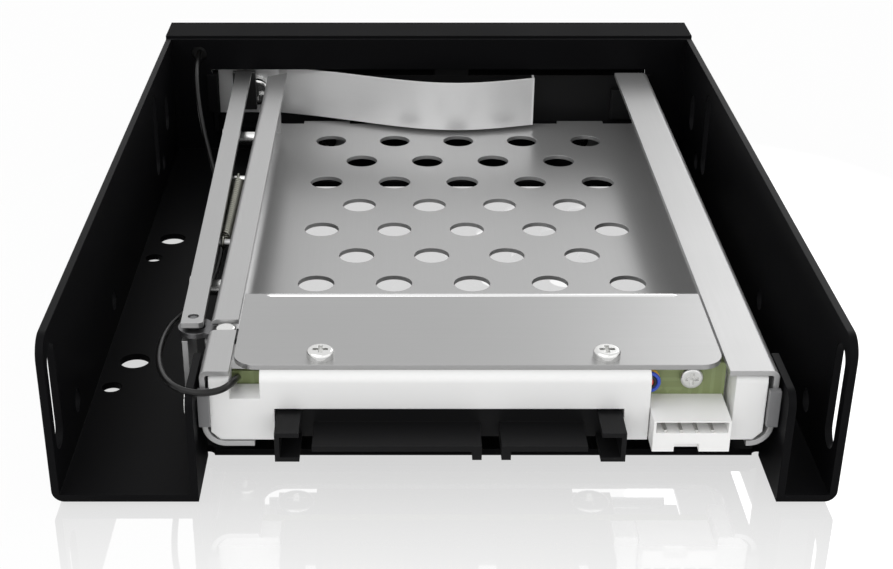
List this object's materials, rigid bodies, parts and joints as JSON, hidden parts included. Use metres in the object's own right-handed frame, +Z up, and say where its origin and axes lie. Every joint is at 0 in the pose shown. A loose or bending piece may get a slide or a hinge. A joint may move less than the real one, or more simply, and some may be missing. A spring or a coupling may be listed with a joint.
{
  "type": "hot swap drive cage",
  "caption": "Sheet steel hot swap cage for a 2.5 inch drive in a black 3.5 inch bay bracket, with a side-hinged front door, push bar eject and rear connectors.",
  "frame": {"origin": "centre of the bracket's four small bottom mounting holes, on the bracket's underside", "axes": "+Z up; -Y towards the front panel and door, +Y towards the rear connectors; +X towards the side with the push bar and eject lever"},
  "size_m": [0.1018, 0.1372, 0.0246],
  "materials": {
    "black_paint": "satin",
    "black_plastic": "matte",
    "bright_steel": "satin",
    "dark_steel": "satin",
    "screw_steel": "polished",
    "white_plastic": "matte",
    "grey_plastic": "matte",
    "board_green": "matte",
    "connector_black": "satin",
    "contact_gold": "polished",
    "pin_tin": "polished",
    "yellow_insulation": "satin",
    "blue_insulation": "satin",
    "black_insulation": "satin",
    "red_insulation": "satin",
    "clear_plastic": "clear"
  },
  "bodies": {
    "chassis": {"bay_bracket": "black_paint", "front_bezel": "black_plastic", "drive_cage": "bright_steel", "side_rivets": "screw_steel", "lip_screws": "screw_steel", "rear_cover_plate": "bright_steel", "cover_screws": "screw_steel", "backplane_holder": "white_plastic", "holder_clips": "grey_plastic", "backplane_board": "board_green", "board_screw": "screw_steel", "holder_screws": "screw_steel", "foot_screw": "screw_steel", "rear_sata_connector": "connector_black", "rear_contacts": "contact_gold", "drive_sata_connector": "connector_black", "drive_contacts": "contact_gold", "power_header": "white_plastic", "header_pins": "pin_tin", "wire_yellow": "yellow_insulation", "wire_blue": "blue_insulation", "wire_black": "black_insulation", "wire_red": "red_insulation", "lever_rivet": "screw_steel", "guide_studs": "screw_steel", "return_spring": "screw_steel", "spring_post": "screw_steel", "light_board": "board_green", "light_pipes": "clear_plastic", "led_lead": "black_insulation"},
    "push_bar": {"push_bar": "bright_steel", "bar_pin": "dark_steel", "eject_button": "black_plastic"},
    "eject_lever": {"eject_lever": "dark_steel"},
    "door": {"door": "black_plastic", "door_liner": "black_plastic", "door_stop": "black_plastic", "door_catch": "black_plastic", "door_pins": "screw_steel", "leaf_spring": "bright_steel", "leaf_screw": "screw_steel"}
  },
  "joints": [
    {"name": "push_bar_slide", "type": "slide", "parent": "chassis", "child": "push_bar", "axis": [0, 1, 0], "range_m": [0, 0.003], "stiffness_N_per_m": 200, "springref_m": -0.003, "deforming": ["return_spring"]},
    {"name": "eject_lever_hinge", "type": "hinge", "parent": "chassis", "child": "eject_lever", "pos_m": [0.0291, 0.03375, 0.0154], "axis": [0, 0, 1], "range_deg": [0, 35]},
    {"name": "door_hinge", "type": "hinge", "parent": "chassis", "child": "door", "pos_m": [0.0447, -0.0819, 0.0089], "axis": [0, 0, 1], "range_deg": [0, 90]}
  ],
  "couplings": [
    {"joint": "eject_lever_hinge", "follows": "push_bar_slide", "rad_per_m": 202.81}
  ]
}
